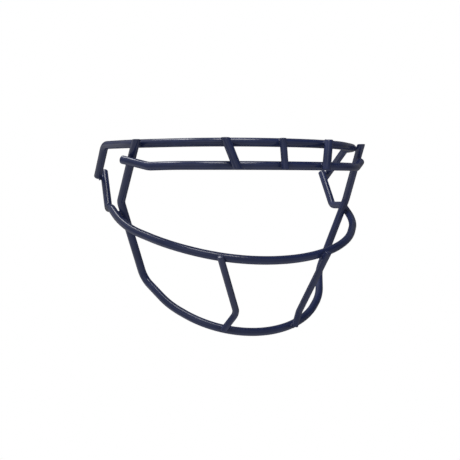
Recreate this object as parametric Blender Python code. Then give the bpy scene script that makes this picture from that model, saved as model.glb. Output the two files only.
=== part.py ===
"""Faceguard for an American football helmet: a cage of round steel bars,
coated dark navy, welded at every crossing.

Millimetres in this file, metres in the scene.  +Z is up, the front of the
guard faces -Y, and left means -X, as seen by someone who faces the guard.
The working heights start from the middle of the lower brow bar, and the
depths from close to the centre connector's foot.  The finished guard is moved
so that its origin is on the mid-plane, under the middle of its depth, at the
height of its lowest point.

Bars are described as a wire former would: the points where the straight runs
meet, and the radius of the bend at each of them.
"""

import math

import bmesh
import bpy
import numpy as np

MM_PER_METRE = 1000.0
SIGNS = {"left": -1.0, "right": 1.0}     # sign of X on each side
MIRROR = np.array([-1.0, 1.0, 1.0])

# ------------------------------------------------------------ bars and bends
THICK = 6.7          # coated diameter of the frame bars and slanted connectors
THIN = 5.4           # coated diameter of the centre connector and lower uprights
SEAT_GAP = 0.30      # coating line between a bar and the one it is laid on
BAR_FACETS = 12      # facets round a bar
ARC_STEP = 7.0       # degrees of bend per facet along a bar
MIN_SPACING = 0.4    # closer centreline points are dropped
END_CHAMFER = 0.7    # broken edge on a cropped bar end

BROW_HEIGHT = 17.5   # upper brow bar above the lower one

# Each bar below runs from the mid-plane outwards, on the +X side:
# (x, y, z, bend radius) at each bend, then (x, y, z) of the cropped end.

# The ends of the two brow bars are bent by hand and are not a mirrored pair:
# the upper bar's left end drops more steeply, the lower bar's left end starts
# further out and is longer.
UPPER_BROW_MIDDLE = [(41.5, 10.0, BROW_HEIGHT, 107), (72.0, 38.5, BROW_HEIGHT, 104),
                     (100.95, 69.5, BROW_HEIGHT, 76)]
UPPER_BROW = {
    "left": UPPER_BROW_MIDDLE + [(113.6, 116.5, 18.3, 11), (116.0, 139.5, -8.6)],
    "right": UPPER_BROW_MIDDLE + [(114.1, 108.7, 17.8, 11), (116.85, 153.8, -10.0)],
}
LOWER_BROW_MIDDLE = [(37.5, 6.5, 0.0, 133), (78.5, 32.5, 0.0, 98)]
LOWER_BROW = {
    "left": LOWER_BROW_MIDDLE + [(92.9, 45.9, -0.5, 18), (109.65, 65.7, 5.0)],
    "right": LOWER_BROW_MIDDLE + [(88.6, 45.0, 0.0, 12), (100.95, 58.8, 5.0)],
}

# One bar passes under the jaw and rises on both sides to the upper brow bar.
SIDE_LOOP_HALF = [(35.5, 41.0, -134.7, 86), (69.5, 73.5, -114.2, 69),
                  (84.0, 102.0, -95.0, 14), (105.5, 91.0, -29.0, 8),
                  (99.95, 56.5, 20.5)]
SIDE_LOOP = {"left": SIDE_LOOP_HALF, "right": SIDE_LOOP_HALF}
JAW_RUN_TOP = -90.0  # the loop counts as the jaw bar below this height

# The mid bar turns straight back beside the ears and then up to the ends of
# the upper brow bar.
MID_BAR_MIDDLE = [(32.5, 11.5, -72.5, 114), (78.0, 37.5, -61.5, 101),
                  (106.1, 77.0, -48.5, 81)]
EAR_ARM = [(109.7, 123.9, -35.5, 6.6), (109.25, 146.1, -3.0)]
MID_BAR = {
    "left": MID_BAR_MIDDLE + [(111.5, 101.0, -34.5, 8)] + EAR_ARM,
    "right": MID_BAR_MIDDLE + [(111.6, 107.0, -34.9, 8)] + EAR_ARM,
}

FRAME_BARS = {"upper_brow_bar": UPPER_BROW, "lower_brow_bar": LOWER_BROW,
              "side_jaw_loop": SIDE_LOOP, "mid_bar": MID_BAR}

# Slanted brow connectors: how far out the axis stands at each brow bar.
SLANT_TOP_X = 42.8
SLANT_FOOT_X = 37.8
# All three connectors end at the top of the upper brow bar and at the
# underside of the lower one.
CONNECTOR_TOP = BROW_HEIGHT + THICK / 2
CONNECTOR_FOOT = -THICK / 2

# Lower uprights, not quite a mirrored pair: the axis at the mid bar, the bend
# and the axis at the jaw bar, on the +X side; then how far the foot runs past
# the jaw bar's axis, where a negative length stops short of it.
UPRIGHTS = {
    "left": dict(top_x=45.0, bend=(25.5, 34.0, -116.2), foot_x=35.0, overrun=-0.9),
    "right": dict(top_x=42.2, bend=(31.1, 37.0, -119.6), foot_x=27.8, overrun=-1.3),
}
UPRIGHT_BEND_RADIUS = 9.0
UPRIGHT_RISE = 5.9   # past the mid bar's axis

# Bars whose ends are cut level, whatever the slope of the bar.
LEVEL_CUT = ("side_jaw_loop", "brow_connector_left", "brow_connector_right",
             "brow_connector_centre")

# Bars are seated by trial: first guess at the depth, and number of passes.
SEAT_START_Y = 10.0
SEAT_PASSES = 12

# --------------------------------------------------------------------- welds
WELD_CLEARANCE = 0.08     # between the weld and each bar
WELD_RADIUS_THICK = 2.5   # fused patch between two thick bars
WELD_RADIUS_THIN = 2.0    # fused patch on a thin bar
WELD_SEGMENTS = 20
WELD_RINGS = (0.4, 0.75, 1.0)   # fractions of the patch radius

SAMPLE_STEP = 0.1         # spacing of points along a finely sampled centreline
CROSSING_REACH = 15.0     # a crossing is sought this far round its rough place
WELD_REACH = 12.0         # length of bar considered each way from a weld
BISECTIONS = 22           # halvings that find where a line meets a bar

# ------------------------------------------------------------------- coating
BAR_FINISH = dict(colour=(0.026, 0.031, 0.080), roughness=0.38)
WELD_FINISH = dict(colour=(0.022, 0.027, 0.070), roughness=0.5)
SMOOTH_ANGLE = 35.0       # degrees; steeper edges are shaded sharp


# --------------------------------------------------------------- centrelines
def unit(vector):
    return vector / np.linalg.norm(vector)


def rounded_path(points, radii):
    """Centreline through the bend points, each turned with its own radius.
    A bend that would run into its neighbour is shortened to meet it."""
    last = len(points) - 1
    length = [np.linalg.norm(points[i + 1] - points[i]) for i in range(last)]
    heading = [(points[i + 1] - points[i]) / length[i] for i in range(last)]
    turn = [0.0] * (last + 1)
    setback = [0.0] * (last + 1)    # from the bend point to where the arc starts
    for i in range(1, last):
        cosine = float(np.dot(heading[i - 1], heading[i]))
        turn[i] = math.acos(max(-1.0, min(1.0, cosine)))
        setback[i] = radii[i - 1] * math.tan(turn[i] / 2)
    for i in range(last):
        needed = setback[i] + setback[i + 1]
        available = 0.999 * length[i]
        if needed > available:
            setback[i] *= available / needed
            setback[i + 1] *= available / needed

    path = [points[0]]
    for i in range(1, last):
        if turn[i] < 1e-3:
            continue
        radius = setback[i] / math.tan(turn[i] / 2)
        start = points[i] - heading[i - 1] * setback[i]
        inward = unit(heading[i] - math.cos(turn[i]) * heading[i - 1])
        centre = start + inward * radius
        count = max(2, math.ceil(math.degrees(turn[i]) / ARC_STEP))
        for k in range(count + 1):
            angle = turn[i] * k / count
            path.append(centre - inward * radius * math.cos(angle)
                        + heading[i - 1] * radius * math.sin(angle))
    path.append(points[-1])

    spaced = [path[0]]
    for point in path[1:]:
        if np.linalg.norm(point - spaced[-1]) > MIN_SPACING:
            spaced.append(point)
    spaced[-1] = path[-1]
    return np.array(spaced)


def two_sided_path(left, right):
    """Centreline across the mid-plane, from the left end to the right end;
    both sides are given on the +X side."""
    points = [np.array(row[:3], float) * MIRROR for row in reversed(left)]
    points += [np.array(row[:3], float) for row in right]
    radii = [bend[3] for bend in reversed(left[:-1])] + [bend[3] for bend in right[:-1]]
    return rounded_path(points, radii)


def sampled(path):
    """The centreline as finely and evenly spaced points."""
    steps = np.linalg.norm(np.diff(path, axis=0), axis=1)
    distance = np.concatenate([[0.0], np.cumsum(steps)])
    wanted = np.linspace(0.0, distance[-1], max(2, int(distance[-1] / SAMPLE_STEP) + 1))
    return np.stack([np.interp(wanted, distance, path[:, axis]) for axis in range(3)], axis=-1)


def seat(path, x, along, spacing):
    """Axis point, nearest to x, of a bar that runs in the direction `along`
    and is laid on the front of another, with `spacing` between the axes."""
    line = sampled(path)
    normal = np.cross(np.gradient(line, axis=0), along)
    normal /= np.linalg.norm(normal, axis=1)[:, None]
    normal[normal[:, 1] > 0] *= -1.0
    laid = line + normal * spacing
    return laid[int(np.abs(laid[:, 0] - x).argmin())]


def seat_on_two(upper, lower, top_x, foot_x, diameter, bend=None):
    """Axis points where a bar, straight or with one bend, lies on two others.
    Each seat depends on the bar's slope, so the passes settle them together."""
    spacing = (THICK + diameter) / 2 + SEAT_GAP
    top = np.array([top_x, SEAT_START_Y, float(upper[:, 2].mean())])
    foot = np.array([foot_x, SEAT_START_Y, float(lower[:, 2].mean())])
    for _ in range(SEAT_PASSES):
        knee = (top + foot) / 2 if bend is None else bend
        top, foot = (seat(upper, top_x, top - knee, spacing),
                     seat(lower, foot_x, foot - knee, spacing))
    return top, foot


def connector_path(upper, lower, top_x, foot_x, diameter):
    """Straight connector between the brow bars."""
    top, foot = seat_on_two(upper, lower, top_x, foot_x, diameter)
    slope = (foot - top) / (foot[2] - top[2])
    return np.array([top + slope * (z - top[2]) for z in (CONNECTOR_TOP, CONNECTOR_FOOT)])


def upright_path(mid, jaw, side):
    """Bent upright from the mid bar down to the jaw bar."""
    shape, sign = UPRIGHTS[side], SIGNS[side]
    bend = np.array(shape["bend"]) * (sign, 1.0, 1.0)
    top, foot = seat_on_two(mid, jaw, sign * shape["top_x"], sign * shape["foot_x"],
                            THIN, bend)
    return rounded_path([top + unit(top - bend) * UPRIGHT_RISE, bend,
                         foot + unit(foot - bend) * shape["overrun"]],
                        [UPRIGHT_BEND_RADIUS])


def bar_centrelines():
    """Every bar's centreline and diameter, by name."""
    bars = {name: (two_sided_path(**sides), THICK) for name, sides in FRAME_BARS.items()}
    upper, lower = bars["upper_brow_bar"][0], bars["lower_brow_bar"][0]
    mid, loop = bars["mid_bar"][0], bars["side_jaw_loop"][0]
    jaw = loop[loop[:, 2] < JAW_RUN_TOP]
    for side, sign in SIGNS.items():
        bars["brow_connector_" + side] = (
            connector_path(upper, lower, sign * SLANT_TOP_X, sign * SLANT_FOOT_X, THICK), THICK)
        bars["lower_upright_" + side] = (upright_path(mid, jaw, side), THIN)
    bars["brow_connector_centre"] = (connector_path(upper, lower, 0.0, 0.0, THIN), THIN)
    return bars


def weld_list():
    """(name, outer bar, inner bar, rough place of the crossing, patch radius)."""
    welds = [("weld_upper_brow_connector_centre", "brow_connector_centre",
              "upper_brow_bar", (0, 5, BROW_HEIGHT), WELD_RADIUS_THIN),
             ("weld_lower_brow_connector_centre", "brow_connector_centre",
              "lower_brow_bar", (0, 3, 0), WELD_RADIUS_THIN)]
    for side, sign in SIGNS.items():
        connector, upright = "brow_connector_" + side, "lower_upright_" + side
        welds += [
            ("weld_upper_brow_connector_" + side, connector, "upper_brow_bar",
             (sign * SLANT_TOP_X, 15, BROW_HEIGHT), WELD_RADIUS_THICK),
            ("weld_lower_brow_connector_" + side, connector, "lower_brow_bar",
             (sign * SLANT_FOOT_X, 8, 0), WELD_RADIUS_THICK),
            ("weld_upper_brow_side_" + side, "side_jaw_loop", "upper_brow_bar",
             (sign * 98, 62, BROW_HEIGHT), WELD_RADIUS_THICK),
            ("weld_lower_brow_side_" + side, "lower_brow_bar", "side_jaw_loop",
             (sign * 105, 66, 3), WELD_RADIUS_THICK),
            ("weld_mid_side_" + side, "mid_bar", "side_jaw_loop",
             (sign * 105, 92, -42), WELD_RADIUS_THICK),
            ("weld_mid_upright_" + side, upright, "mid_bar",
             (sign * 43, 15, -70), WELD_RADIUS_THIN),
            ("weld_jaw_upright_" + side, upright, "side_jaw_loop",
             (sign * 31, 44, -131), WELD_RADIUS_THIN),
            ("weld_upper_brow_mid_" + side, "upper_brow_bar", "mid_bar",
             (sign * 112, 142, -5), WELD_RADIUS_THICK),
        ]
    return welds


# -------------------------------------------------------------------- solids
def path_tangents(path):
    """Direction at each point: the mean of the runs that meet there."""
    runs = [unit(after - before) for before, after in zip(path, path[1:])]
    return [runs[0]] + [unit(a + b) for a, b in zip(runs, runs[1:])] + [runs[-1]]


def add_ring(bm, centre, side, up, radius, cut):
    """Section of a bar by the plane through `centre` with the normal `cut`."""
    tangent = np.cross(side, up)
    ring = []
    for k in range(BAR_FACETS):
        angle = 2 * math.pi * (k + 0.5) / BAR_FACETS
        arm = side * radius * math.cos(angle) + up * radius * math.sin(angle)
        slide = tangent * np.dot(arm, cut) / np.dot(tangent, cut)
        ring.append(bm.verts.new((centre + arm - slide) / MM_PER_METRE))
    return ring


def bar_mesh(path, radius, level):
    """Closed round bar along a centreline, with chamfered flat ends: square
    to the bar, or cut level."""
    bm = bmesh.new()
    tangents = path_tangents(path)
    last = len(path) - 1
    side = np.cross(tangents[0], (0.0, 0.0, 1.0))
    if np.linalg.norm(side) < 0.2:    # the bar starts almost upright
        side = np.cross(tangents[0], (0.0, 1.0, 0.0))
    side = unit(side)
    rings = []
    for i, (point, tangent) in enumerate(zip(path, tangents)):
        # The section's axes are carried along the bar without twist.
        side = unit(side - tangent * np.dot(side, tangent))
        up = np.cross(tangent, side)
        stations = [(point, radius)]
        cut = tangent
        if i in (0, last):
            if level:
                cut = np.array((0.0, 0.0, math.copysign(1.0, tangent[2])))
            inset = tangent * (END_CHAMFER / np.dot(tangent, cut)) * (1 if i == 0 else -1)
            stations = [(point, radius - END_CHAMFER), (point + inset, radius)]
            if i == last:
                stations.reverse()
        for centre, ring_radius in stations:
            rings.append(add_ring(bm, centre, side, up, ring_radius, cut))
    for near, far in zip(rings, rings[1:]):
        for k in range(BAR_FACETS):
            m = (k + 1) % BAR_FACETS
            bm.faces.new((near[k], near[m], far[m], far[k]))
    bm.faces.new(list(reversed(rings[0])))
    bm.faces.new(rings[-1])
    return bm


def closest_points(outer_path, inner_path, place):
    """Closest points of two centrelines round a place, and the direction of
    the inner bar there."""
    outer, inner = sampled(outer_path), sampled(inner_path)
    directions = np.gradient(inner, axis=0)
    outer = outer[np.linalg.norm(outer - place, axis=1) < CROSSING_REACH]
    close = np.linalg.norm(inner - place, axis=1) < CROSSING_REACH
    inner, directions = inner[close], directions[close]
    gaps = np.linalg.norm(outer[:, None] - inner[None], axis=2)
    i, j = np.unravel_index(gaps.argmin(), gaps.shape)
    return outer[i], inner[j], unit(directions[j])


def meet_bar(start, direction, line, bar_radius):
    """Where a line stops, just short of a bar's surface."""
    low, high = 0.0, bar_radius
    for _ in range(BISECTIONS):
        reach = (low + high) / 2
        distance = np.linalg.norm(line - (start + direction * reach), axis=1).min()
        if distance > bar_radius + WELD_CLEARANCE:
            low = reach
        else:
            high = reach
    return start + direction * low


def weld_skin(bm, middle, axes, direction, bar, radius, flip):
    """Hollow face of a weld against one bar; returns its rim."""
    path, diameter = bar
    line = sampled(path)
    line = line[np.linalg.norm(line - middle, axis=1) < WELD_REACH]

    def add_point(x, y):
        start = middle + axes[0] * x + axes[1] * y
        return bm.verts.new(meet_bar(start, direction, line, diameter / 2) / MM_PER_METRE)

    centre = add_point(0.0, 0.0)
    angles = [2 * math.pi * k / WELD_SEGMENTS for k in range(WELD_SEGMENTS)]
    loops = [[add_point(radius * part * math.cos(angle), radius * part * math.sin(angle))
              for angle in angles] for part in WELD_RINGS]
    for k in range(WELD_SEGMENTS):
        m = (k + 1) % WELD_SEGMENTS
        faces = [(centre, loops[0][k], loops[0][m])]
        for small, large in zip(loops, loops[1:]):
            faces += [(small[k], large[k], large[m]), (small[k], large[m], small[m])]
        for face in faces:
            bm.faces.new(tuple(reversed(face)) if flip else face)
    return loops[-1]


def weld_mesh(outer, inner, place, radius):
    """Fused metal between two bars: hollow against each bar, open to the air
    round its rim."""
    bm = bmesh.new()
    outer_point, inner_point, along = closest_points(outer[0], inner[0], np.array(place, float))
    normal = unit(outer_point - inner_point)
    middle = (outer_point - normal * outer[1] / 2 + inner_point + normal * inner[1] / 2) / 2
    along = unit(along - normal * np.dot(along, normal))
    axes = (along, np.cross(normal, along))
    outer_rim = weld_skin(bm, middle, axes, normal, outer, radius, flip=False)
    inner_rim = weld_skin(bm, middle, axes, -normal, inner, radius, flip=True)
    for k in range(WELD_SEGMENTS):
        m = (k + 1) % WELD_SEGMENTS
        bm.faces.new((outer_rim[k], inner_rim[k], inner_rim[m]))
        bm.faces.new((outer_rim[k], inner_rim[m], outer_rim[m]))
    return bm


# --------------------------------------------------------------------- scene
def coating(name, colour, roughness):
    material = bpy.data.materials.new(name)
    material.use_nodes = True
    shader = material.node_tree.nodes["Principled BSDF"]
    shader.inputs["Base Color"].default_value = (*colour, 1.0)
    shader.inputs["Roughness"].default_value = roughness
    shader.inputs["Metallic"].default_value = 0.0
    material.diffuse_color = (*colour, 1.0)
    return material


def add_object(name, bm, origin, material, parent):
    """Object with its own origin at the mean of its vertices."""
    bmesh.ops.recalc_face_normals(bm, faces=bm.faces[:])
    mesh = bpy.data.meshes.new(name)
    bm.to_mesh(mesh)
    bm.free()
    centre = np.mean([vertex.co[:] for vertex in mesh.vertices], axis=0)
    for vertex in mesh.vertices:
        vertex.co = [vertex.co[axis] - centre[axis] for axis in range(3)]
    mesh.materials.append(material)
    mesh.shade_smooth()
    mesh.set_sharp_from_angle(angle=math.radians(SMOOTH_ANGLE))
    obj = bpy.data.objects.new(name, mesh)
    obj.location = [float(value) for value in centre - origin]
    obj.parent = parent
    bpy.context.scene.collection.objects.link(obj)


def build():
    for obj in list(bpy.data.objects):
        bpy.data.objects.remove(obj, do_unlink=True)
    bpy.context.scene.unit_settings.system = "METRIC"
    frame = bpy.data.objects.new("faceguard_frame", None)
    frame.empty_display_size = 0.02
    bpy.context.scene.collection.objects.link(frame)

    bars = bar_centrelines()
    pieces = [(name, bar_mesh(path, diameter / 2, name in LEVEL_CUT), BAR_FINISH)
              for name, (path, diameter) in bars.items()]
    pieces += [(name, weld_mesh(bars[outer], bars[inner], place, radius), WELD_FINISH)
               for name, outer, inner, place, radius in weld_list()]

    points = np.array([vertex.co[:] for _, bm, _ in pieces for vertex in bm.verts])
    low, high = points.min(axis=0), points.max(axis=0)
    origin = np.array([0.0, (low[1] + high[1]) / 2, low[2]])
    for name, bm, finish in pieces:
        add_object(name, bm, origin, coating(name + "_coating", **finish), frame)


build()
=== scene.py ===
"""Looks for a football faceguard: a fine mesh of coated wire in place of every CAD
bar and weld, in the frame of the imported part.

The bars are drawn in millimetres in a design frame: +X right, +Y to the back,
+Z up, the mid-plane at x = 0 and the lower brow bar's middle at z = 0.  "Left" is
the -X side.  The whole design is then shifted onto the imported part.
"""

import math

import bmesh
import bpy
import numpy as np
from mathutils import Matrix, Vector


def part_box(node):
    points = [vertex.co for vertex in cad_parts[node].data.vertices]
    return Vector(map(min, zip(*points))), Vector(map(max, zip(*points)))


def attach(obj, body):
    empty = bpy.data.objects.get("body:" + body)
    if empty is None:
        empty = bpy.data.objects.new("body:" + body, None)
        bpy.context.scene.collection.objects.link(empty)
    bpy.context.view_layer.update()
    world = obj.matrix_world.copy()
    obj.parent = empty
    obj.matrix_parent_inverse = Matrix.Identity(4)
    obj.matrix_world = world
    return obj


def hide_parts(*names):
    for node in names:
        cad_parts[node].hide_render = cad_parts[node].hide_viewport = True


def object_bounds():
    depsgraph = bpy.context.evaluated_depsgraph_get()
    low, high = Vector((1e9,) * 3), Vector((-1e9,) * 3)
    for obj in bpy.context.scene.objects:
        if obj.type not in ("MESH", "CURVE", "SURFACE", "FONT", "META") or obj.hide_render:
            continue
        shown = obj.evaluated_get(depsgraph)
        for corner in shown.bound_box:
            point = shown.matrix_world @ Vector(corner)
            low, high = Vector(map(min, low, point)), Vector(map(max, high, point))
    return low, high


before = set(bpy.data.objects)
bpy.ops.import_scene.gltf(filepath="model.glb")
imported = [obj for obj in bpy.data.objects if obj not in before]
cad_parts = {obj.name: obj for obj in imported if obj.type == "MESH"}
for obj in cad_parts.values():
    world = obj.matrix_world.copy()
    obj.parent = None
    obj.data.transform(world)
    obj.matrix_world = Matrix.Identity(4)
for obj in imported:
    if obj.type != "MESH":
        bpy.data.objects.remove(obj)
cad_low, cad_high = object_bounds()

# ------------------------------------------------------- dimensions, in mm
MM_PER_M = 1000.0
THICK = 6.7          # coated diameter of the frame bars
THIN = 5.4           # coated diameter of the centre connector and lower uprights
GAP = 0.30           # coating line between two bars at a weld
ARC_STEP = 0.8       # degrees of bend per facet along a bar
SHORTEST_RUN = 0.4   # centreline points closer than this are merged

# Bends from the mid-plane outwards, given on the +X side: (x, y, z, bend radius).
# The *_SIDES tables add each side's own bends and its cropped end (x, y, z).
BROW_HEIGHT = 17.5
# The brow bars are not mirrored pairs: the upper bar's left end drops more
# steeply, the lower bar's left end starts further out and is longer.
UPPER_BROW = [(41.5, 10.0, BROW_HEIGHT, 107), (72.0, 38.5, BROW_HEIGHT, 104),
              (100.95, 69.5, BROW_HEIGHT, 76)]
UPPER_BROW_SIDES = {
    "left": ([(113.6, 116.5, 18.3, 11)], (116.0, 139.5, -8.6)),
    "right": ([(114.1, 108.7, 17.8, 11)], (116.85, 153.8, -10.0)),
}
LOWER_BROW = [(37.5, 6.5, 0.0, 133), (78.5, 32.5, 0.0, 98)]
LOWER_BROW_SIDES = {
    "left": ([(92.9, 45.9, -0.5, 18)], (109.65, 65.7, 5.0)),
    "right": ([(88.6, 45.0, 0.0, 12)], (100.95, 58.8, 5.0)),
}

SIDE_LOOP = [(35.5, 41.0, -134.7, 86), (69.5, 73.5, -114.2, 69),
             (84.0, 102.0, -95.0, 14), (105.5, 91.0, -29.0, 8)]
SIDE_LOOP_END = (99.95, 56.5, 20.5)
SIDE_LOOP_SIDES = {"left": ([], SIDE_LOOP_END), "right": ([], SIDE_LOOP_END)}
JAW_TOP = -90.0      # below this height the side loop is the jaw bar

# The mid bar turns back beside the ears and then up to the ends of the upper
# brow bar.
MID_BAR = [(32.5, 11.5, -72.5, 114), (78.0, 37.5, -61.5, 101), (106.1, 77.0, -48.5, 81)]
EAR_BEND = (109.7, 123.9, -35.5, 6.6)
EAR_ARM_TOP = (109.25, 146.1, -3.0)
MID_BAR_SIDES = {
    "left": ([(111.5, 101.0, -34.5, 8), EAR_BEND], EAR_ARM_TOP),
    "right": ([(111.6, 107.0, -34.9, 8), EAR_BEND], EAR_ARM_TOP),
}

# Slanted brow connectors: x of the axis where it crosses each brow bar.
SLANT_TOP_X = 42.8
SLANT_FOOT_X = 37.8
# All connectors end level with the top of the upper and foot of the lower brow bar.
CONNECTOR_TOP = BROW_HEIGHT + THICK / 2
CONNECTOR_FOOT = -THICK / 2

# Lower uprights, not quite a mirrored pair: x of the axis at the mid bar, the
# bend, x at the jaw bar, and how far the foot runs past the jaw crossing
# (negative stops short).
UPRIGHTS = {
    "left": dict(top_x=45.0, bend=(25.5, 34.0, -116.2), foot_x=35.0, drop=-0.9),
    "right": dict(top_x=42.2, bend=(31.1, 37.0, -119.6), foot_x=27.8, drop=-1.3),
}
UPRIGHT_RADIUS = 9.0
UPRIGHT_RISE = 5.9   # how far the top runs past the mid bar crossing

SIDES = {"left": -1.0, "right": 1.0}
MIRROR = np.array([-1.0, 1.0, 1.0])

# Search for where a bar lies on two others
START_Y = 10.0
SEAT_PASSES = 12
SEARCH_STEP = 0.1


# ------------------------------------------------------------- centrelines
def unit(vector):
    return vector / np.linalg.norm(vector)


def rounded_path(points, radii):
    """Centreline through the bend points, each turned with its own radius.
    A bend that would run into its neighbour is shortened to meet it."""
    corners = [np.array(point, float) for point in points]
    count = len(corners)
    lengths = [np.linalg.norm(corners[i + 1] - corners[i]) for i in range(count - 1)]
    runs = [(corners[i + 1] - corners[i]) / lengths[i] for i in range(count - 1)]
    turns = [0.0] * count
    setbacks = [0.0] * count
    for i in range(1, count - 1):
        turns[i] = math.acos(max(-1.0, min(1.0, float(np.dot(runs[i - 1], runs[i])))))
        setbacks[i] = radii[i - 1] * math.tan(turns[i] / 2)
    for i in range(count - 1):
        needed = setbacks[i] + setbacks[i + 1]
        available = 0.999 * lengths[i]
        if needed > available:
            setbacks[i] *= available / needed
            setbacks[i + 1] *= available / needed

    path = [corners[0]]
    for i in range(1, count - 1):
        if turns[i] < 1e-3:
            continue
        radius = setbacks[i] / math.tan(turns[i] / 2)
        start = corners[i] - runs[i - 1] * setbacks[i]
        inward = unit(runs[i] - math.cos(turns[i]) * runs[i - 1])
        centre = start + inward * radius
        facets = max(2, math.ceil(math.degrees(turns[i]) / ARC_STEP))
        for k in range(facets + 1):
            angle = turns[i] * k / facets
            path.append(centre - inward * radius * math.cos(angle)
                        + runs[i - 1] * radius * math.sin(angle))
    path.append(corners[-1])

    merged = [path[0]]
    for point in path[1:]:
        if np.linalg.norm(point - merged[-1]) > SHORTEST_RUN:
            merged.append(point)
    merged[-1] = path[-1]
    return np.array(merged)


def two_sided_path(middle, sides):
    """Centreline across the mid-plane, from the left end to the right end."""
    points = {}
    radii = {}
    for side, (own_bends, end) in sides.items():
        bends = middle + own_bends
        points[side] = [np.array(bend[:3], float) for bend in bends] + [np.array(end, float)]
        radii[side] = [bend[3] for bend in bends]
    left = [point * MIRROR for point in reversed(points["left"])]
    return rounded_path(left + points["right"], radii["left"][::-1] + radii["right"])


def distances(path):
    """Distance along a path at each of its points."""
    return np.concatenate([[0.0], np.cumsum(np.linalg.norm(np.diff(path, axis=0), axis=1))])


def dense(path, step):
    """The path sampled evenly."""
    along = distances(path)
    samples = np.linspace(0.0, along[-1], max(2, int(along[-1] / step) + 1))
    return np.stack([np.interp(samples, along, path[:, k]) for k in range(3)], axis=-1)


def seat(path, x, direction, across):
    """Centre of a bar laid on the front of another, where its own axis
    stands at x."""
    line = dense(path, SEARCH_STEP)
    normal = np.cross(np.gradient(line, axis=0), direction)
    normal /= np.linalg.norm(normal, axis=1)[:, None]
    normal[normal[:, 1] > 0] *= -1.0
    laid = line + normal * across
    return laid[int(np.abs(laid[:, 0] - x).argmin())]


def seat_on_both(upper, lower, top_x, foot_x, diameter, bend=None):
    """Where a bar, straight or with one bend, crosses the two it is laid on."""
    across = (THICK + diameter) / 2 + GAP
    top = np.array([top_x, START_Y, float(upper[:, 2].mean())])
    foot = np.array([foot_x, START_Y, float(lower[:, 2].mean())])
    for _ in range(SEAT_PASSES):
        knee = bend if bend is not None else (top + foot) / 2
        top, foot = (seat(upper, top_x, top - knee, across),
                     seat(lower, foot_x, foot - knee, across))
    return top, foot


def connector_path(upper, lower, top_x, foot_x, diameter):
    top, foot = seat_on_both(upper, lower, top_x, foot_x, diameter)
    slope = (foot - top) / (foot[2] - top[2])
    return np.array([top + slope * (z - top[2]) for z in (CONNECTOR_TOP, CONNECTOR_FOOT)])


def upright_path(mid, jaw, sign, top_x, bend, foot_x, drop):
    bend = np.array(bend) * np.array([sign, 1.0, 1.0])
    top, foot = seat_on_both(mid, jaw, sign * top_x, sign * foot_x, THIN, bend)
    ends = [top + unit(top - bend) * UPRIGHT_RISE, bend, foot + unit(foot - bend) * drop]
    return rounded_path(ends, [UPRIGHT_RADIUS])


def design_bars():
    """Every bar's centreline and diameter, by name, in the design frame."""
    upper = two_sided_path(UPPER_BROW, UPPER_BROW_SIDES)
    lower = two_sided_path(LOWER_BROW, LOWER_BROW_SIDES)
    loop = two_sided_path(SIDE_LOOP, SIDE_LOOP_SIDES)
    mid = two_sided_path(MID_BAR, MID_BAR_SIDES)
    jaw = loop[loop[:, 2] < JAW_TOP]
    found = {
        "upper_brow_bar": (upper, THICK),
        "lower_brow_bar": (lower, THICK),
        "side_jaw_loop": (loop, THICK),
        "mid_bar": (mid, THICK),
    }
    for side, sign in SIDES.items():
        found["brow_connector_" + side] = (
            connector_path(upper, lower, sign * SLANT_TOP_X, sign * SLANT_FOOT_X, THICK), THICK)
        found["lower_upright_" + side] = (upright_path(mid, jaw, sign, **UPRIGHTS[side]), THIN)
    found["brow_connector_centre"] = (connector_path(upper, lower, 0.0, 0.0, THIN), THIN)
    return found


def box_mm(name):
    low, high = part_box(name)
    return np.array(low) * MM_PER_M, np.array(high) * MM_PER_M


def placed_bars():
    """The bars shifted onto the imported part, and the shift: x from the side
    loop, y from the centre connector, z from the lowest bar."""
    found = design_bars()
    loop = found["side_jaw_loop"][0]
    connector = found["brow_connector_centre"][0]
    loop_low, loop_high = box_mm("side_jaw_loop")
    connector_low, connector_high = box_mm("brow_connector_centre")
    shift = np.array([
        (loop_low[0] + loop_high[0]) / 2 - (loop[:, 0].min() + loop[:, 0].max()) / 2,
        (connector_low[1] + connector_high[1]) / 2 - connector[:, 1].mean(),
        min(box_mm(name)[0][2] for name in found) - (loop[:, 2].min() - THICK / 2),
    ])
    return {name: (path + shift, diameter) for name, (path, diameter) in found.items()}, shift


# ------------------------------------------------------------------ meshes
def add_object(name, data):
    obj = bpy.data.objects.new(name, data)
    bpy.context.scene.collection.objects.link(obj)
    return obj


def new_coating_mesh():
    """An empty mesh with its wear and distance layers."""
    bm = bmesh.new()
    wear = bm.verts.layers.float.new("end_wear")
    along = bm.verts.layers.float.new("along")
    return bm, wear, along


def finish_mesh(name, bm):
    bmesh.ops.recalc_face_normals(bm, faces=bm.faces[:])
    mesh = bpy.data.meshes.new(name)
    bm.to_mesh(mesh)
    bm.free()
    mesh.shade_smooth()
    return add_object(name, mesh)


# -------------------------------------------------------------------- bars
TUBE_SIDES = 40
STATION = 2.0        # longest spacing of rings along a bar
ROUND_OVER = 0.85    # radius of the rounded edge of a cropped end
ROUND_STEPS = 6
END_DOME = 0.10      # how far the middle of an end stands out
# Rings on the dome: (share of the flat radius, share of the dome height)
DOME_RINGS = ((0.35, 1.0), (0.75, 0.55))
END_MARGIN = 0.3     # clear length between the rounded end and the first ring
UNEVEN_WAVES = (31.0, 17.0, 9.5)
UNEVEN_HEIGHT = 0.012
OVALITY = 0.0035     # share of the radius
OVAL_TWIST = 17.0    # length over which the oval's phase shifts one radian
WEAR_LENGTH = 3.0    # distance over which end wear fades

# Bars whose ends are cut level, whatever the slope of the bar
LEVEL_CUT = ("side_jaw_loop", "brow_connector_left", "brow_connector_right",
             "brow_connector_centre")


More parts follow.
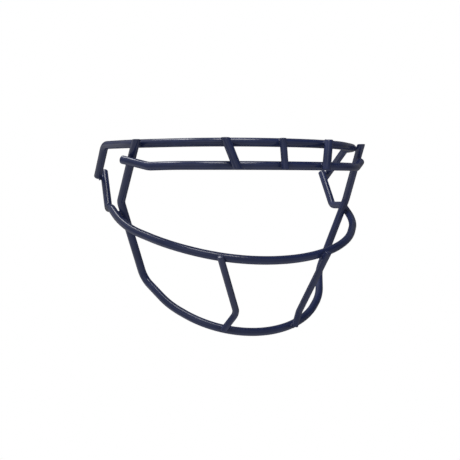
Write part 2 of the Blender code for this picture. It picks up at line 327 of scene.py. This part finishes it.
def resample(path):
    """The path with no run longer than STATION."""
    points = [path[0]]
    for start, end in zip(path[:-1], path[1:]):
        count = max(1, math.ceil(np.linalg.norm(end - start) / STATION))
        points += [start + (end - start) * k / count for k in range(1, count + 1)]
    return np.array(points)


def frames(points):
    """Tangent, side and up at each point, carried along without twist."""
    tangents = np.zeros_like(points)
    tangents[0] = unit(points[1] - points[0])
    tangents[-1] = unit(points[-1] - points[-2])
    for i in range(1, len(points) - 1):
        tangents[i] = unit(unit(points[i] - points[i - 1]) + unit(points[i + 1] - points[i]))
    side = np.cross(tangents[0], (0.0, 0.0, 1.0))
    if np.linalg.norm(side) < 0.2:
        side = np.cross(tangents[0], (0.0, 1.0, 0.0))
    sides = np.zeros_like(points)
    for i, tangent in enumerate(tangents):
        side = unit(side - tangent * np.dot(side, tangent))
        sides[i] = side
    return tangents, sides, np.cross(tangents, sides)


def unevenness(along, seed):
    """Smooth repeatable unevenness of the coating along a length."""
    rng = np.random.default_rng(seed)
    total = np.zeros_like(along)
    for wave in UNEVEN_WAVES:
        total += np.sin(2 * math.pi * along / (wave * rng.uniform(0.8, 1.25))
                        + rng.uniform(0, 6.28))
    return UNEVEN_HEIGHT * total / len(UNEVEN_WAVES)


def end_stations(point, outward, side, up, radius, distance, level):
    """Rings of a rounded-over end, from its middle inwards along the bar."""
    cut = np.array((0.0, 0.0, math.copysign(1.0, outward[2]))) if level else outward
    outward = outward / np.dot(outward, cut)
    flat = radius - ROUND_OVER
    rings = [(flat * share, END_DOME - END_DOME * lift) for share, lift in DOME_RINGS]
    for k in range(ROUND_STEPS + 1):
        angle = math.pi / 2 * k / ROUND_STEPS
        rings.append((flat + ROUND_OVER * math.sin(angle),
                      END_DOME + ROUND_OVER * (1 - math.cos(angle))))
    return [(point - outward * depth, side, up, ring_radius, distance, cut)
            for ring_radius, depth in rings]


def wire_stations(points, radius, level):
    """Rings of a bar: (centre, side, up, radius, distance along, cut normal)."""
    along = distances(points)
    length = along[-1]
    tangents, sides, ups = frames(points)

    def end_length(tangent):
        lean = abs(float(tangent[2])) if level else 1.0
        return ROUND_OVER / lean + radius * math.sqrt(1 - lean * lean) / lean + END_MARGIN

    keep = (along > end_length(tangents[0])) & (along < length - end_length(tangents[-1]))
    stations = end_stations(points[0], -tangents[0], sides[0], ups[0], radius, 0.0, level)
    for i in np.nonzero(keep)[0]:
        stations.append((points[i], sides[i], ups[i], radius, along[i], tangents[i]))
    stations += reversed(
        end_stations(points[-1], tangents[-1], sides[-1], ups[-1], radius, length, level))
    return stations


def wire(name, path, diameter, seed, level):
    """A coated wire: round, with rounded-over cropped ends, square to the bar
    or cut level, and the coating slightly uneven."""
    points = resample(path)
    radius = diameter / 2
    stations = wire_stations(points, radius, level)
    along = np.array([station[4] for station in stations])
    end_wear = np.exp(-np.minimum(along, distances(points)[-1] - along) / WEAR_LENGTH)

    bm, wear_layer, along_layer = new_coating_mesh()
    rings = []
    for station, bump, wear in zip(stations, unevenness(along, seed), end_wear):
        centre, side, up, ring_radius, distance, cut = station
        tangent = np.cross(side, up)
        ring = []
        for k in range(TUBE_SIDES):
            angle = 2 * math.pi * k / TUBE_SIDES
            oval = 1.0 + OVALITY * math.sin(2 * angle + distance / OVAL_TWIST + seed)
            reach = ring_radius * oval + bump * min(1.0, ring_radius / radius)
            arm = side * reach * math.cos(angle) + up * reach * math.sin(angle)
            slid = tangent * np.dot(arm, cut) / np.dot(tangent, cut)
            vertex = bm.verts.new((centre + arm - slid) / MM_PER_M)
            vertex[wear_layer] = float(wear)
            vertex[along_layer] = float(distance / MM_PER_M)
            ring.append(vertex)
        rings.append(ring)

    for near_ring, far_ring in zip(rings, rings[1:]):
        for k in range(TUBE_SIDES):
            m = (k + 1) % TUBE_SIDES
            bm.faces.new((near_ring[k], far_ring[k - k + m] if False else near_ring[m],
                          far_ring[m], far_ring[k])
                         if False else (near_ring[k], near_ring[m], far_ring[m], far_ring[k]))
    for ring, point, flip in ((rings[0], points[0], True), (rings[-1], points[-1], False)):
        centre = bm.verts.new(point / MM_PER_M)
        centre[wear_layer] = 1.0
        for k in range(TUBE_SIDES):
            m = (k + 1) % TUBE_SIDES
            bm.faces.new((centre, ring[m], ring[k]) if flip else (centre, ring[k], ring[m]))
    return finish_mesh(name, bm)


# ------------------------------------------------------------------- welds
BEAD_TURNS = 56
BEAD_ARC = 9
THICK_FILL = 1.9     # height of the gap between the bars that the metal fills
THIN_FILL = 1.5      # the same, where the outer bar is thin
BEAD_REACH = 0.93    # furthest rim, as a share of the thinner bar's radius
CROSSING_REACH = 15.0
SURFACE_REACH = 14.0
SURFACE_STEP = 0.12
SLOPE_STEP = 0.25
LEAST_SLOPE = 0.35   # least combined slope used to find the fillet's crotch
BURIED_SHARE = 0.96  # the rim's buried edges: share of the rim radius,
BURIED_DEPTH = 0.35  # and depth inside the bars
CAP_HEIGHT = 0.6     # cap centres, from the weld's middle plane


def weld_list():
    """(name, outer bar, inner bar, design point near the crossing)."""
    welds = [
        ("weld_upper_brow_connector_centre", "brow_connector_centre", "upper_brow_bar",
         (0, 5, BROW_HEIGHT)),
        ("weld_lower_brow_connector_centre", "brow_connector_centre", "lower_brow_bar",
         (0, 3, 0)),
    ]
    for side, sign in SIDES.items():
        connector = "brow_connector_" + side
        upright = "lower_upright_" + side
        for name, outer, inner, (x, y, z) in (
                ("upper_brow_connector", connector, "upper_brow_bar",
                 (SLANT_TOP_X, 15, BROW_HEIGHT)),
                ("lower_brow_connector", connector, "lower_brow_bar", (SLANT_FOOT_X, 8, 0)),
                ("upper_brow_side", "side_jaw_loop", "upper_brow_bar", (98, 62, BROW_HEIGHT)),
                ("lower_brow_side", "lower_brow_bar", "side_jaw_loop", (105, 66, 3)),
                ("mid_side", "mid_bar", "side_jaw_loop", (105, 92, -42)),
                ("mid_upright", upright, "mid_bar", (43, 15, -70)),
                ("jaw_upright", upright, "side_jaw_loop", (31, 44, -131)),
                ("upper_brow_mid", "upper_brow_bar", "mid_bar", (112, 142, -5))):
            welds.append((f"weld_{name}_{side}", outer, inner, (sign * x, y, z)))
    return welds


def closest(outer_path, inner_path, near):
    """Closest points of two centrelines round a place, and the direction of
    the inner bar there."""
    lines = []
    for path in (outer_path, inner_path):
        line = dense(path, SEARCH_STEP)
        keep = np.linalg.norm(line - near, axis=1) < CROSSING_REACH
        lines.append((line[keep], np.gradient(line, axis=0)[keep]))
    (outer, _), (inner, inner_ways) = lines
    gaps = np.linalg.norm(outer[:, None] - inner[None], axis=2)
    i, j = np.unravel_index(gaps.argmin(), gaps.shape)
    return outer[i], inner[j], unit(inner_ways[j])


def rim_profile(rise, fill, reach):
    """One section of the rim, as (distance out, height) from the outer bar to
    the inner.  rise(distance, top) is the height of a bar's surface."""
    def gap(distance):
        return rise(distance, True) + rise(distance, False)

    low, high = 0.3, reach
    if gap(high) > fill:
        for _ in range(12):
            middle = (low + high) / 2
            low, high = (middle, high) if gap(middle) < fill else (low, middle)
    rim = (low + high) / 2 if high < reach else reach

    top, bottom = rise(rim, True), rise(rim, False)
    top_slope = (top - rise(rim - SLOPE_STEP, True)) / SLOPE_STEP
    bottom_slope = (bottom - rise(rim - SLOPE_STEP, False)) / SLOPE_STEP
    # meeting point of the two surface tangents, inside the crotch
    pull = min((top + bottom) / max(top_slope + bottom_slope, LEAST_SLOPE), rim * 0.8)
    crotch = (top - top_slope * pull - (bottom - bottom_slope * pull)) / 2
    arc = []
    for j in range(BEAD_ARC):
        t = j / (BEAD_ARC - 1)
        arc.append(((1 - t) ** 2 * rim + 2 * t * (1 - t) * (rim - pull) + t ** 2 * rim,
                    (1 - t) ** 2 * top + 2 * t * (1 - t) * crotch - t ** 2 * bottom))
    buried = rim * BURIED_SHARE
    return [(buried, top + BURIED_DEPTH)] + arc + [(buried, -bottom - BURIED_DEPTH)]


def bead(name, outer, inner, near, fill, reach, seed):
    """Coated weld between two bars: a closed ring of metal whose rim is a
    hollow fillet, tangent to both bars, with its caps buried inside them."""
    (outer_path, outer_diameter), (inner_path, inner_diameter) = outer, inner
    outer_point, inner_point, inner_way = closest(outer_path, inner_path, near)
    normal = unit(outer_point - inner_point)
    middle = (outer_point - normal * outer_diameter / 2
              + inner_point + normal * inner_diameter / 2) / 2
    first = unit(inner_way - normal * np.dot(inner_way, normal))
    second = np.cross(normal, first)
    surfaces = []
    for path, diameter in (inner, outer):
        line = dense(path, SURFACE_STEP)
        near_line = line[np.linalg.norm(line - middle, axis=1) < SURFACE_REACH]
        surfaces.append((near_line, diameter / 2))

    def height(x, y, top):
        """Height of a bar's surface over the weld's middle plane."""
        line, radius = surfaces[top]
        start = middle + first * x + second * y
        way = normal if top else -normal
        low, high = -0.3, radius
        for _ in range(20):
            z = (low + high) / 2
            away = np.linalg.norm(line - (start + way * z), axis=1).min()
            low, high = (z, high) if away > radius else (low, z)
        return low

    phase = np.random.default_rng(seed).uniform(0, 6.28, 3)
    bm, _, _ = new_coating_mesh()
    grid = []
    for k in range(BEAD_TURNS):
        angle = 2 * math.pi * k / BEAD_TURNS
        cos, sin = math.cos(angle), math.sin(angle)
        local_fill = fill * (1 + 0.07 * math.sin(2 * angle + phase[0])
                             + 0.05 * math.sin(3 * angle + phase[1])
                             + 0.03 * math.sin(5 * angle + phase[2]))
        profile = rim_profile(lambda out, top: height(cos * out, sin * out, top),
                              local_fill, reach)
        outward = first * cos + second * sin
        grid.append([bm.verts.new((middle + outward * x + normal * z) / MM_PER_M)
                     for x, z in profile])
    for k in range(BEAD_TURNS):
        m = (k + 1) % BEAD_TURNS
        for j in range(len(grid[0]) - 1):
            bm.faces.new((grid[k][j], grid[m][j], grid[m][j + 1], grid[k][j + 1]))
    for j, sign in ((0, 1.0), (-1, -1.0)):
        cap = bm.verts.new((middle + normal * sign * CAP_HEIGHT) / MM_PER_M)
        for k in range(BEAD_TURNS):
            m = (k + 1) % BEAD_TURNS
            bm.faces.new((cap, grid[k][j], grid[m][j]))
    return finish_mesh(name, bm)


# ------------------------------------------------------------ shader nodes
def set_inputs(tree, node, inputs):
    """Link each input given as a socket and set the others."""
    for key, value in inputs.items():
        if isinstance(value, bpy.types.NodeSocket):
            tree.links.new(value, node.inputs[key])
        else:
            node.inputs[key].default_value = value


def add_node(tree, kind, inputs, **properties):
    node = tree.nodes.new(kind)
    for key, value in properties.items():
        setattr(node, key, value)
    set_inputs(tree, node, inputs)
    return node


def map_range(tree, value, source, target=(0.0, 1.0), **properties):
    return add_node(tree, "ShaderNodeMapRange", {
        "Value": value, "From Min": source[0], "From Max": source[1],
        "To Min": target[0], "To Max": target[1]}, **properties).outputs["Result"]


def math_node(tree, operation, *values, **properties):
    return add_node(tree, "ShaderNodeMath", dict(enumerate(values)),
                    operation=operation, **properties).outputs["Value"]


def mix_colour(tree, factor, first, second, **properties):
    return add_node(tree, "ShaderNodeMix", {"Factor": factor, "A": first, "B": second},
                    data_type="RGBA", **properties).outputs["Result"]


# ----------------------------------------------------------------- coating
# Navy dip coating: its colour, range of roughness, and strength of end scuffs
BAR_COAT = dict(colour=(0.027, 0.038, 0.110), roughness=(0.14, 0.18), scuffing=0.35)
WELD_COAT = dict(colour=(0.027, 0.037, 0.107), roughness=(0.19, 0.23), scuffing=0.0)
DARK_CLOUD, LIGHT_CLOUD = 0.86, 1.13     # cloudy colour, as shares of the colour
SCUFF_COLOUR = (0.075, 0.085, 0.125, 1.0)
SCUFF_ROUGHNESS = 0.5                    # added where fully scuffed


def coating_material(name, seed, colour, roughness, scuffing):
    """A smooth half-gloss skin with orange peel, cloudy colour and gloss, and
    scuffed cropped ends."""
    material = bpy.data.materials.new(name)
    material.use_nodes = True
    tree = material.node_tree
    where = tree.nodes.new("ShaderNodeTexCoord").outputs["Object"]
    mapped = add_node(tree, "ShaderNodeMapping", {
        "Vector": where, "Location": (seed * 0.137, seed * 0.071, seed * 0.193),
    }).outputs["Vector"]

    def noise(scale, detail, roughness):
        return add_node(tree, "ShaderNodeTexNoise", {
            "Vector": mapped, "Scale": scale, "Detail": detail, "Roughness": roughness,
        }).outputs["Fac"]

    def bump(height, strength, distance, **below):
        return add_node(tree, "ShaderNodeBump", {
            "Height": height, "Strength": strength, "Distance": distance, **below,
        }).outputs["Normal"]

    cloud = noise(scale=55.0, detail=3.0, roughness=0.55)
    grain = noise(scale=2600.0, detail=2.0, roughness=0.6)
    peel = noise(scale=620.0, detail=2.5, roughness=0.5)
    sag = noise(scale=140.0, detail=1.0, roughness=0.4)
    scuff = noise(scale=900.0, detail=4.0, roughness=0.7)

    # cloudy, finely flecked colour
    tint = mix_colour(tree, map_range(tree, cloud, source=(0.32, 0.68)),
                      (*(c * DARK_CLOUD for c in colour), 1.0),
                      (*(c * LIGHT_CLOUD for c in colour), 1.0))
    speck = map_range(tree, grain, source=(0.30, 0.75), target=(0.985, 1.015))
    flecked = mix_colour(tree, 1.0, tint, speck, blend_type="MULTIPLY")

    # scuffs in patches on the cropped ends
    ends = add_node(tree, "ShaderNodeAttribute", {}, attribute_name="end_wear").outputs["Fac"]
    patch = map_range(tree, scuff, source=(0.54, 0.66))
    worn = math_node(tree, "MULTIPLY", patch, ends, use_clamp=True)
    amount = math_node(tree, "MULTIPLY", worn, scuffing, use_clamp=True)

    gloss = map_range(tree, sag, source=(0.3, 0.7), target=roughness)
    coarse = bump(peel, strength=0.03, distance=0.00010)
    set_inputs(tree, tree.nodes["Principled BSDF"], {
        "Base Color": mix_colour(tree, amount, flecked, SCUFF_COLOUR),
        "Roughness": math_node(tree, "MULTIPLY_ADD", amount, SCUFF_ROUGHNESS, gloss,
                               use_clamp=True),
        "Normal": bump(grain, strength=0.02, distance=0.00002, Normal=coarse),
        "Metallic": 0.0,
        "IOR": 1.5,
    })
    material.diffuse_color = (*colour, 1.0)
    return material


def coat(piece, part, seed, look):
    """Coat a piece and put it in the place of its CAD part."""
    piece.data.materials.append(coating_material("navy_" + part, seed, **look))
    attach(piece, "root")
    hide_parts(part)


bars, shift = placed_bars()
for index, (part, (path, diameter)) in enumerate(bars.items()):
    coat(wire("coated_" + part, path, diameter, index, part in LEVEL_CUT),
         part, index, BAR_COAT)

for index, (part, outer, inner, near) in enumerate(weld_list()):
    piece = bead("coated_" + part, bars[outer], bars[inner], np.array(near, float) + shift,
                 fill=THIN_FILL if bars[outer][1] == THIN else THICK_FILL,
                 reach=BEAD_REACH * min(bars[outer][1], bars[inner][1]) / 2,
                 seed=100 + index)
    coat(piece, part, 40 + index, WELD_COAT)


# ------------------------------------------------------------------ camera
YAW, PITCH, ROLL = math.radians(-20.64), math.radians(4.362), math.radians(0.079)
EYE = np.array([-217.91, -461.81, -9.57])    # design frame, mm
LENS = 53.03426                              # mm, on a 36 mm sensor
UP = Vector((0, 0, 1))


def add_camera():
    back = Vector((math.sin(YAW) * math.cos(PITCH), -math.cos(YAW) * math.cos(PITCH),
                   math.sin(PITCH)))
    level_right = UP.cross(back).normalized()
    level_up = back.cross(level_right)
    right = level_right * math.cos(ROLL) + level_up * math.sin(ROLL)
    up = level_up * math.cos(ROLL) - level_right * math.sin(ROLL)

    data = bpy.data.cameras.new("camera")
    data.sensor_width = 36.0
    data.sensor_fit = "AUTO"
    data.lens = LENS
    data.clip_start = 0.01
    camera = add_object("camera", data)
    camera.location = Vector((EYE + shift) / MM_PER_M)
    camera.rotation_mode = "QUATERNION"
    camera.rotation_quaternion = Matrix((right, up, back)).transposed().to_quaternion()
    bpy.context.scene.camera = camera


add_camera()

# ------------------------------------------------------------------ lights
to_camera = Vector((math.sin(YAW), -math.cos(YAW), 0.0))    # level
camera_right = UP.cross(to_camera).normalized()
LIGHT_DISTANCE = 1.2


def studio(x, y, z):
    """A direction: across to the camera's right, up, and out towards it."""
    return camera_right * x + UP * y + to_camera * z


def soft_box(name, direction, long_side, short_side, radiance):
    """A rectangular soft box facing the part, its long side towards the camera."""
    light = bpy.data.lights.new(name, "AREA")
    light.shape = "RECTANGLE"
    light.size, light.size_y = long_side, short_side
    light.energy = radiance * math.pi * long_side * short_side
    obj = add_object(name, light)
    aim = (cad_low + cad_high) / 2
    obj.location = aim + direction.normalized() * LIGHT_DISTANCE
    obj.rotation_mode = "QUATERNION"
    facing = (obj.location - aim).normalized()
    first = (to_camera - facing * to_camera.dot(facing)).normalized()
    axes = Matrix((first, facing.cross(first), facing))
    obj.rotation_quaternion = axes.transposed().to_quaternion()


soft_box("overhead_rear", studio(-0.43, 1.0, -0.14),
         long_side=0.58, short_side=0.20, radiance=7.0)
soft_box("overhead_front", studio(0.04, 1.0, 0.25),
         long_side=0.62, short_side=0.56, radiance=5.0)

# ------------------------------------------------------------------- world
# Soft patches of the room: (studio direction x, y, z, cosine where the patch
# fades out, cosine where it is full, strength added)
ROOM_PATCHES = (
    (-0.88, -0.38, -0.30, 0.72, 0.97, 0.45),
    (-0.95, 0.02, -0.30, 0.93, 0.99, 0.30),
    (-0.60, 0.72, -0.25, 0.78, 0.95, 0.40),
    (-0.40, 0.22, 0.88, 0.90, 0.99, 0.35),
    (0.05, 0.85, 0.52, 0.965, 0.995, 0.80),
    (0.97, 0.0, -0.25, 0.90, 0.99, -0.12),
)
EVERYWHERE = (0.0, 0.0, 1.0, -9.0, -8.0, 1.0)        # full in every direction
SHADED_PATCH = (0.65, 0.75, -0.05, 0.78, 0.93, 0.92)  # share of the light taken away


def build_world():
    """White to the camera; a grey room with soft patches to everything else."""
    world = bpy.data.worlds.new("studio")
    bpy.context.scene.world = world
    world.cycles.sampling_method = "NONE"
    world.use_nodes = True
    tree = world.node_tree
    tree.nodes.clear()
    where = tree.nodes.new("ShaderNodeTexCoord").outputs["Generated"]

    def ramp(direction, source, target):
        cosine = add_node(tree, "ShaderNodeVectorMath", {0: where, 1: tuple(direction)},
                          operation="DOT_PRODUCT").outputs["Value"]
        return map_range(tree, cosine, source, target, interpolation_type="SMOOTHSTEP")

    def patch(x, y, z, fade, full, amount):
        return ramp(studio(x, y, z).normalized(), (fade, full), (0.0, amount))

    total = math_node(tree, "MULTIPLY",
                      ramp(UP, source=(-0.75, -0.20), target=(0.70, 0.38)),
                      ramp(to_camera, source=(-0.6, 0.0), target=(0.42, 1.0)))
    for row in ROOM_PATCHES:
        total = math_node(tree, "ADD", total, patch(*row))
    lit = math_node(tree, "SUBTRACT", patch(*EVERYWHERE), patch(*SHADED_PATCH))
    total = math_node(tree, "MULTIPLY", total, lit)

    room = add_node(tree, "ShaderNodeBackground", {"Strength": total})
    white = add_node(tree, "ShaderNodeBackground", {"Color": (1, 1, 1, 1), "Strength": 1.0})
    seen = tree.nodes.new("ShaderNodeLightPath").outputs["Is Camera Ray"]
    pick = add_node(tree, "ShaderNodeMixShader",
                    {0: seen, 1: room.outputs[0], 2: white.outputs[0]})
    add_node(tree, "ShaderNodeOutputWorld", {"Surface": pick.outputs[0]})


build_world()

# ------------------------------------------------------------------- floor
FLOOR_HALF = 6.0     # m
FLOOR_DROP = 0.004   # m below the part


def floor_material():
    """Glowing white from above, clear from below."""
    material = bpy.data.materials.new("pale_floor")
    material.use_nodes = True
    tree = material.node_tree
    tree.nodes.clear()
    white = add_node(tree, "ShaderNodeEmission", {"Color": (1, 1, 1, 1)})
    clear = tree.nodes.new("ShaderNodeBsdfTransparent")
    below = tree.nodes.new("ShaderNodeNewGeometry").outputs["Backfacing"]
    mix = add_node(tree, "ShaderNodeMixShader",
                   {0: below, 1: white.outputs[0], 2: clear.outputs[0]})
    add_node(tree, "ShaderNodeOutputMaterial", {"Surface": mix.outputs[0]})
    return material


def add_floor():
    """A white floor, seamless with the background, that lights nothing."""
    mesh = bpy.data.meshes.new("floor")
    corners = [(x * FLOOR_HALF, y * FLOOR_HALF, 0)
               for x, y in ((-1, -1), (1, -1), (1, 1), (-1, 1))]
    mesh.from_pydata(corners, [], [(0, 1, 2, 3)])
    floor = add_object("floor", mesh)
    floor.location = (0, 0, cad_low.z - FLOOR_DROP)
    mesh.materials.append(floor_material())
    floor.visible_diffuse = False
    floor.visible_glossy = False
    floor.visible_shadow = False
    floor.visible_transmission = False


add_floor()

bpy.context.scene.view_settings.view_transform = "Standard"
bpy.context.scene.view_settings.look = "None"
